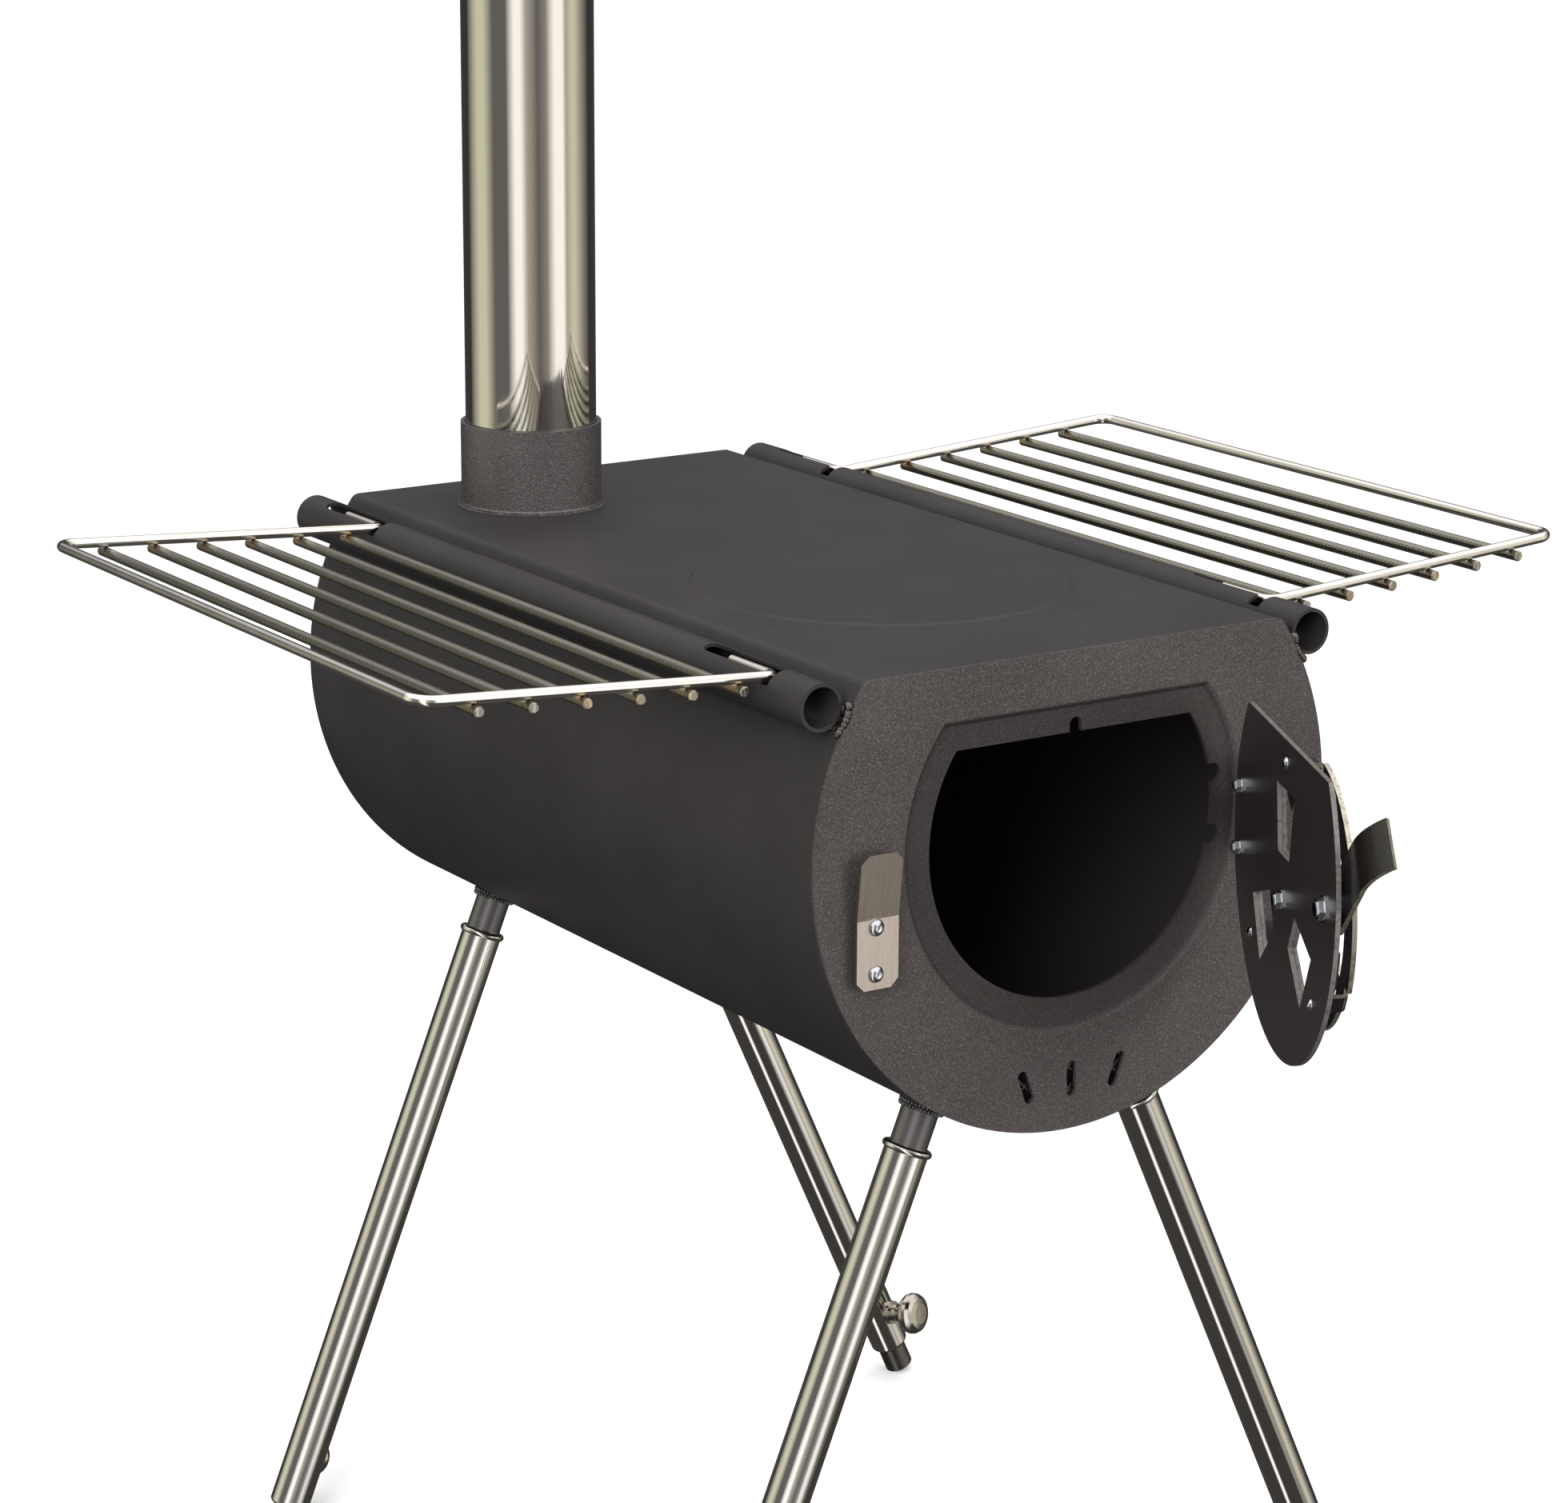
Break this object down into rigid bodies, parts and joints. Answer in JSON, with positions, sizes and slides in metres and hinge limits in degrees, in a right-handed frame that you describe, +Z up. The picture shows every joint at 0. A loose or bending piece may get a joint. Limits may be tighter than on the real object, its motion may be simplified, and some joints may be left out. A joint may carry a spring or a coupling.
{
  "type": "camping wood stove",
  "caption": "Flat-topped cylindrical wood stove on splayed extending legs, with an open vented door, a rear flue pipe and folding wire side racks.",
  "frame": {"origin": "middle of the whole part's outline on the ground under the feet, with the door open", "axes": "+Z up, -Y towards the front with the door, +X to the stove's right-hand side as seen from the front"},
  "size_m": [0.5694, 0.6186, 0.8199],
  "materials": {
    "stove_paint": "matt charcoal heat-proof paint with a fine grain",
    "front_paint": "matt charcoal heat-proof paint, a little paler and sandier",
    "door_paint": "satin brown-black heat-proof paint",
    "dark_steel": "satin black with bare edges",
    "rack_wire": "polished round stainless wire",
    "flue_steel": "polished stainless tube",
    "leg_steel": "polished stainless tube",
    "foot_steel": "plain drawn steel tube",
    "knob_steel": "polished turned steel",
    "brushed_steel": "brushed stainless sheet",
    "zinc_fastener": "bright zinc plating"
  },
  "bodies": {
    "stove": {"barrel": "stove_paint", "front_plate": "front_paint", "rear_plate": "stove_paint", "slot_screen": "brushed_steel", "flue_collar": "stove_paint", "left_rack_tube": "stove_paint", "right_rack_tube": "stove_paint", "rack_tube_welds": "stove_paint", "leg_sockets": "dark_steel", "socket_welds": "dark_steel", "front_left_leg": "leg_steel", "front_right_leg": "leg_steel", "rear_left_leg": "leg_steel", "rear_right_leg": "leg_steel", "thumbscrew_bosses": "knob_steel", "keeper_plate": "brushed_steel", "keeper_spacer": "dark_steel", "keeper_screws": "zinc_fastener", "keeper_nuts": "zinc_fastener", "hinge_frame_leaf": "dark_steel", "hinge_pin": "brushed_steel"},
    "door": {"door_plate": "door_paint", "hinge_door_leaf": "dark_steel", "hinge_screws": "zinc_fastener", "hinge_nuts": "zinc_fastener", "regulator_bolt": "zinc_fastener", "regulator_nut": "zinc_fastener", "door_guard": "door_paint", "guard_rivets": "zinc_fastener", "latch_bolt": "zinc_fastener", "latch_washer": "zinc_fastener", "latch_nut": "zinc_fastener"},
    "latch": {"latch_lever": "door_paint"},
    "regulator": {"air_regulator": "stove_paint"},
    "left_rack": {"left_rack_frame": "rack_wire", "left_rack_rods": "rack_wire"},
    "right_rack": {"right_rack_frame": "rack_wire", "right_rack_rods": "rack_wire"},
    "flue_pipe": {"flue_pipe": "flue_steel"},
    "front_left_foot": {"front_left_foot_rod": "foot_steel"},
    "front_left_screw": {"front_left_thumbscrew": "knob_steel"},
    "front_right_foot": {"front_right_foot_rod": "foot_steel"},
    "front_right_screw": {"front_right_thumbscrew": "knob_steel"},
    "rear_left_foot": {"rear_left_foot_rod": "foot_steel"},
    "rear_left_screw": {"rear_left_thumbscrew": "knob_steel"},
    "rear_right_foot": {"rear_right_foot_rod": "foot_steel"},
    "rear_right_screw": {"rear_right_thumbscrew": "knob_steel"}
  },
  "joints": [
    {"name": "door_hinge", "type": "hinge", "parent": "stove", "child": "door", "pos_m": [0.086, -0.12734, 0.41462], "axis": [0, 0, 1], "range_deg": [-65.1, 105]},
    {"name": "latch_turn", "type": "hinge", "parent": "door", "child": "latch", "pos_m": [0.01562, -0.2596, 0.41462], "axis": [-0.907, 0.421, 0], "range_deg": [-31.5, 45]},
    {"name": "regulator_turn", "type": "hinge", "parent": "door", "child": "regulator", "pos_m": [0.0424, -0.20191, 0.39932], "axis": [0.907, -0.421, 0], "range_deg": [-54, 0]},
    {"name": "left_rack_fold", "type": "hinge", "parent": "stove", "child": "left_rack", "pos_m": [-0.1243, -0.08559, 0.48792], "axis": [0, 1, 0], "range_deg": [0, 100]},
    {"name": "right_rack_fold", "type": "hinge", "parent": "stove", "child": "right_rack", "pos_m": [0.1243, -0.08559, 0.48792], "axis": [0, -1, 0], "range_deg": [0, 135]},
    {"name": "flue_pipe_lift", "type": "slide", "parent": "stove", "child": "flue_pipe", "axis": [0, 0, 1], "range_m": [0, 0.04]},
    {"name": "front_left_foot_slide", "type": "slide", "parent": "stove", "child": "front_left_foot", "axis": [-0.3778, 0, -0.9259], "range_m": [0, 0.15]},
    {"name": "front_left_thumbscrew_turn", "type": "hinge", "parent": "stove", "child": "front_left_screw", "pos_m": [-0.15794, -0.08229, 0.0276], "axis": [-0.3913, -0.9063, 0.1597], "range_deg": [0, 540]},
    {"name": "front_right_foot_slide", "type": "slide", "parent": "stove", "child": "front_right_foot", "axis": [0.4163, 0, -0.9092], "range_m": [0, 0.15]},
    {"name": "front_right_thumbscrew_turn", "type": "hinge", "parent": "stove", "child": "front_right_screw", "pos_m": [0.174, -0.08229, 0.03456], "axis": [0.3843, -0.9063, 0.1759], "range_deg": [0, 540]},
    {"name": "rear_left_foot_slide", "type": "slide", "parent": "stove", "child": "rear_left_foot", "axis": [-0.3778, 0, -0.9259], "range_m": [0, 0.15]},
    {"name": "rear_left_thumbscrew_turn", "type": "hinge", "parent": "stove", "child": "rear_left_screw", "pos_m": [-0.15794, 0.27481, 0.0276], "axis": [0.5442, 0.809, -0.2221], "range_deg": [0, 540]},
    {"name": "rear_right_foot_slide", "type": "slide", "parent": "stove", "child": "rear_right_foot", "axis": [0.4163, 0, -0.9092], "range_m": [0, 0.15]},
    {"name": "rear_right_thumbscrew_turn", "type": "hinge", "parent": "stove", "child": "rear_right_screw", "pos_m": [0.174, 0.27481, 0.03456], "axis": [0.3843, -0.9063, 0.1759], "range_deg": [0, 540]}
  ]
}
